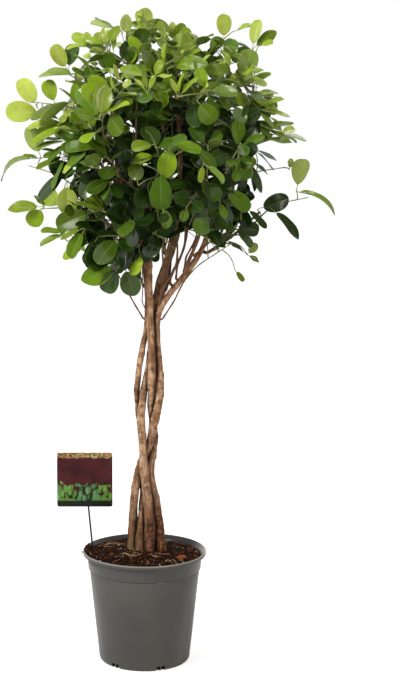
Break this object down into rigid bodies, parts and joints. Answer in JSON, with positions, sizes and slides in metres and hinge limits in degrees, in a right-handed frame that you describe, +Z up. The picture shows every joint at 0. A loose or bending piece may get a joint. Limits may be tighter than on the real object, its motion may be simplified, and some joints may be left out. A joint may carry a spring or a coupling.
{
  "type": "potted braided ficus",
  "caption": "House plant with a braided trunk of slender stems and a round crown of glossy oval leaves, in a tapered plastic nursery pot with a plain plant label on a stake.",
  "frame": {"origin": "centre of the pot's flat underside", "axes": "+Z up along the pot's axis, front facing -Y, +X to the right seen from the front"},
  "size_m": [0.536, 0.4509, 1.1099],
  "materials": {
    "pot_plastic": "satin",
    "potting_mix": "matte",
    "stake_plastic": "satin",
    "printed_card": "satin",
    "stem_bark": "matte",
    "limb_bark": "matte",
    "young_leaf": "satin",
    "leaf": "satin",
    "old_leaf": "satin"
  },
  "bodies": {
    "root": {"pot": "pot_plastic", "potting_soil": "potting_mix", "label_stake": "stake_plastic", "label_card": "printed_card", "stem_1": "stem_bark", "stem_2": "stem_bark", "stem_3": "stem_bark", "stem_4": "stem_bark", "stem_5": "stem_bark", "limb_left": "limb_bark", "limb_left_back": "limb_bark", "limb_front": "limb_bark", "limb_front_left": "limb_bark", "limb_front_right": "limb_bark", "limb_right": "limb_bark", "limb_right_high": "limb_bark", "limb_back": "limb_bark", "limb_back_right": "limb_bark", "limb_top": "limb_bark", "shoot_left_top": "young_leaf", "shoot_left_high": "young_leaf", "shoot_left_reach": "leaf", "shoot_left_low": "young_leaf", "shoot_left_under": "old_leaf", "shoot_left_skirt": "leaf", "shoot_top_left": "young_leaf", "shoot_top": "young_leaf", "shoot_top_middle": "young_leaf", "shoot_top_twig": "young_leaf", "shoot_right_top": "young_leaf", "shoot_right_high": "young_leaf", "shoot_right_middle": "young_leaf", "shoot_right_reach": "leaf", "shoot_right_twig": "leaf", "shoot_right_low": "old_leaf", "shoot_right_skirt": "leaf", "shoot_front_heart": "leaf", "shoot_front_middle_right": "leaf", "shoot_front_high_left": "young_leaf", "shoot_front_high": "young_leaf", "shoot_front_high_right": "young_leaf", "shoot_front_crest": "young_leaf", "shoot_front_far_right": "leaf", "shoot_front_low_right": "leaf", "shoot_front_low": "old_leaf", "shoot_front_low_left": "old_leaf", "shoot_front_left": "leaf", "shoot_front_left_middle": "leaf", "shoot_front_left_low": "old_leaf", "shoot_front_right_low": "old_leaf", "shoot_back_left": "leaf", "shoot_back_left_high": "young_leaf", "shoot_back_high": "young_leaf", "shoot_back_right_high": "young_leaf", "shoot_back_right": "leaf", "shoot_back_low": "old_leaf", "shoot_back_middle": "leaf", "shoot_back_middle_right": "leaf"}
  },
  "joints": []
}
